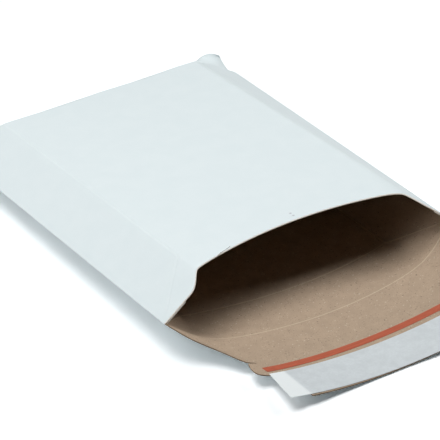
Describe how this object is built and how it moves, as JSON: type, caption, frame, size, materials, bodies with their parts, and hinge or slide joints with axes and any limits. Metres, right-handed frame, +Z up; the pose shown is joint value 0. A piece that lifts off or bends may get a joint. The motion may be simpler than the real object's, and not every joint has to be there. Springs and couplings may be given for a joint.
{
  "type": "rigid board envelope",
  "caption": "Rigid white board envelope lying open, with a folded back, a curved mouth, a long tapered flap, a tear tape and a covered adhesive band.",
  "frame": {"origin": "middle of the footprint, on the surface it lies on", "axes": "+X across the mouth, +Y from the flap to the back fold, +Z up"},
  "size_m": [0.2482, 0.4104, 0.0543],
  "materials": {
    "coated_board": "matt white coated solid board, grey-brown inside",
    "tape_film": "thin red film",
    "adhesive": "soft hot-melt band",
    "liner_paper": "silicone-coated release paper, slight sheen"
  },
  "bodies": {
    "root": {"board_envelope": "coated_board", "tear_tape": "tape_film", "seal_adhesive": "adhesive", "release_liner": "liner_paper"}
  },
  "joints": []
}
